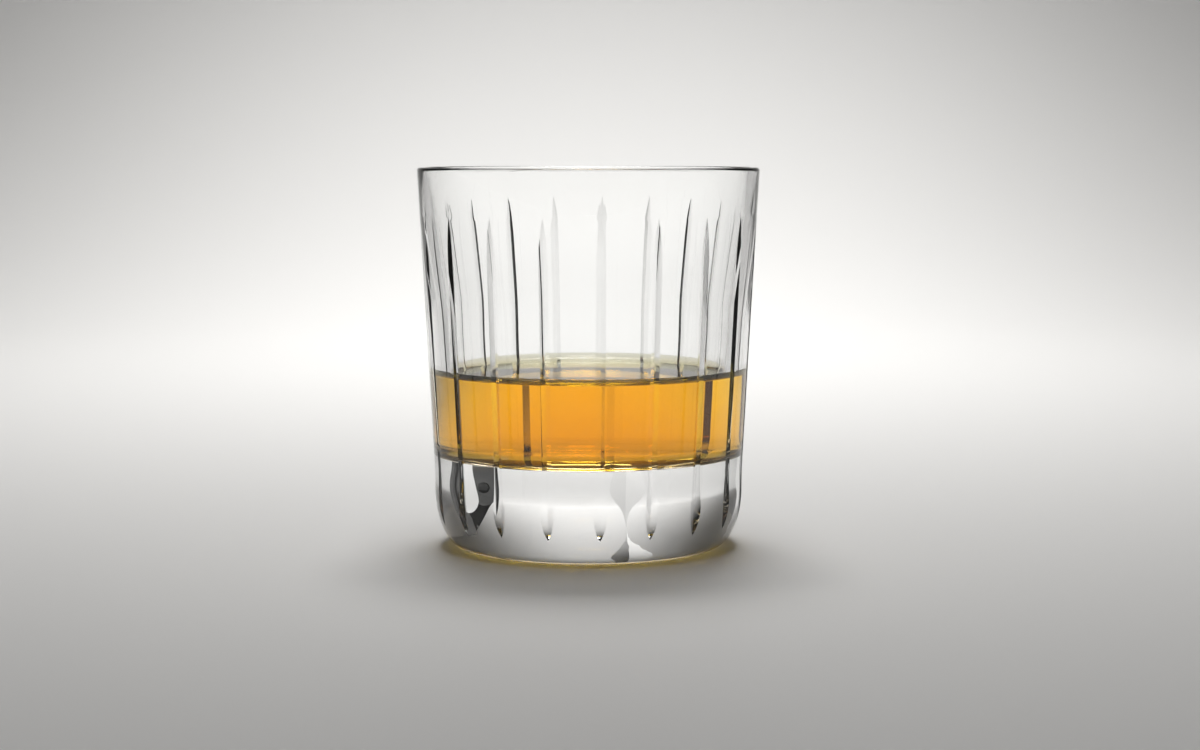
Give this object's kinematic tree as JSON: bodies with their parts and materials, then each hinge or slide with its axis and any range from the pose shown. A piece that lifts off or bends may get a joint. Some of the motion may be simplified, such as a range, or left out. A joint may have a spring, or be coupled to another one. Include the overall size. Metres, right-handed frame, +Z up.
{
  "type": "neat whisky in a cut glass tumbler",
  "caption": "Amber whisky, served neat, in a heavy-footed clear glass tumbler that flares slightly and is cut with upright mitre grooves.",
  "frame": {"origin": "middle of the foot, on the surface that the glass stands on", "axes": "+Z up along the glass's axis; -Y is the front, as seen in the reference view; +X to the viewer's right"},
  "size_m": [0.087, 0.0868, 0.0965],
  "materials": {
    "clear_glass": "clear polished glass",
    "whisky": "clear golden amber liquid"
  },
  "bodies": {
    "root": {"tumbler": "clear_glass", "whisky": "whisky"}
  },
  "joints": []
}
